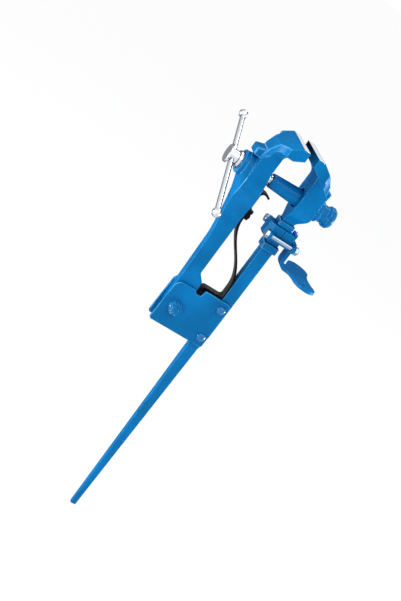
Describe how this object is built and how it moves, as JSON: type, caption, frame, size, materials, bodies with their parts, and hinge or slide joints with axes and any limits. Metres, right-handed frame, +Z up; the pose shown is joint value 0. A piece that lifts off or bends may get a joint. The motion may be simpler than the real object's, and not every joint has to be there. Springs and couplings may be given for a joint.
{
  "type": "leg vise",
  "caption": "Leg vise with fan-shaped forged jaws, a hinged arm on two cheek plates, a leaf spring, a clamping screw with a sliding handle and a bench bracket.",
  "frame": {"origin": "on the underside of the bench plate, midway between its two screw holes", "axes": "+Z up along the leg, +X from the jaws towards the bench, +Y along the jaws' width"},
  "size_m": [0.366, 0.3244, 1.12],
  "materials": {
    "blue_paint": "gloss",
    "bright_steel": "bright",
    "plated_steel": "zinc plated",
    "spring_steel": "satin black"
  },
  "bodies": {
    "leg_frame": {"leg_with_fixed_jaw": "blue_paint", "near_cheek_plate": "blue_paint", "far_cheek_plate": "blue_paint", "cheek_rivets": "blue_paint", "pivot_bolt": "blue_paint", "pivot_nut": "blue_paint", "leaf_spring": "spring_steel", "upper_collar": "blue_paint", "lower_collar": "blue_paint", "bracket_yoke": "blue_paint", "bench_bracket": "blue_paint", "bracket_bolts": "plated_steel", "bracket_nuts": "plated_steel"},
    "hinged_jaw": {"moving_jaw": "blue_paint", "thrust_ring": "blue_paint", "spring_keeper": "spring_steel", "keeper_screws": "spring_steel"},
    "rocking_box": {"screw_box": "blue_paint", "box_key": "blue_paint"},
    "screw_thrust": {"thrust_washer": "bright_steel"},
    "turning_screw": {"clamping_screw": "bright_steel"},
    "sliding_handle": {"handle_bar": "bright_steel", "near_knob": "bright_steel", "far_knob": "bright_steel"}
  },
  "joints": [
    {"name": "jaw_pivot", "type": "hinge", "parent": "leg_frame", "child": "hinged_jaw", "pos_m": [-0.221, 0, -0.218], "axis": [0, -1, 0], "range_deg": [-2.75, 12.1], "deforming": ["leaf_spring"]},
    {"name": "box_rock", "type": "hinge", "parent": "leg_frame", "child": "rocking_box", "pos_m": [-0.11, 0, 0.1665], "axis": [0, -1, 0], "range_deg": [-1.35, 5.8]},
    {"name": "screw_feed", "type": "slide", "parent": "rocking_box", "child": "screw_thrust", "axis": [-1, 0, 0], "range_m": [-0.01813, 0.0793]},
    {"name": "screw_spin", "type": "hinge", "parent": "screw_thrust", "child": "turning_screw", "pos_m": [-0.321, 0, 0.1665], "axis": [-1, 0, 0], "range_deg": [-1075.8, 4746.2]},
    {"name": "handle_slide", "type": "slide", "parent": "turning_screw", "child": "sliding_handle", "axis": [0, 0.878, 0.4787], "range_m": [-0.115, 0.159]}
  ],
  "couplings": [
    {"joint": "jaw_pivot", "follows": "screw_spin", "ratio": 0.0025283},
    {"joint": "box_rock", "follows": "screw_spin", "ratio": 0.0012083},
    {"joint": "screw_feed", "follows": "screw_spin", "m_per_rad": 0.00095493}
  ]
}
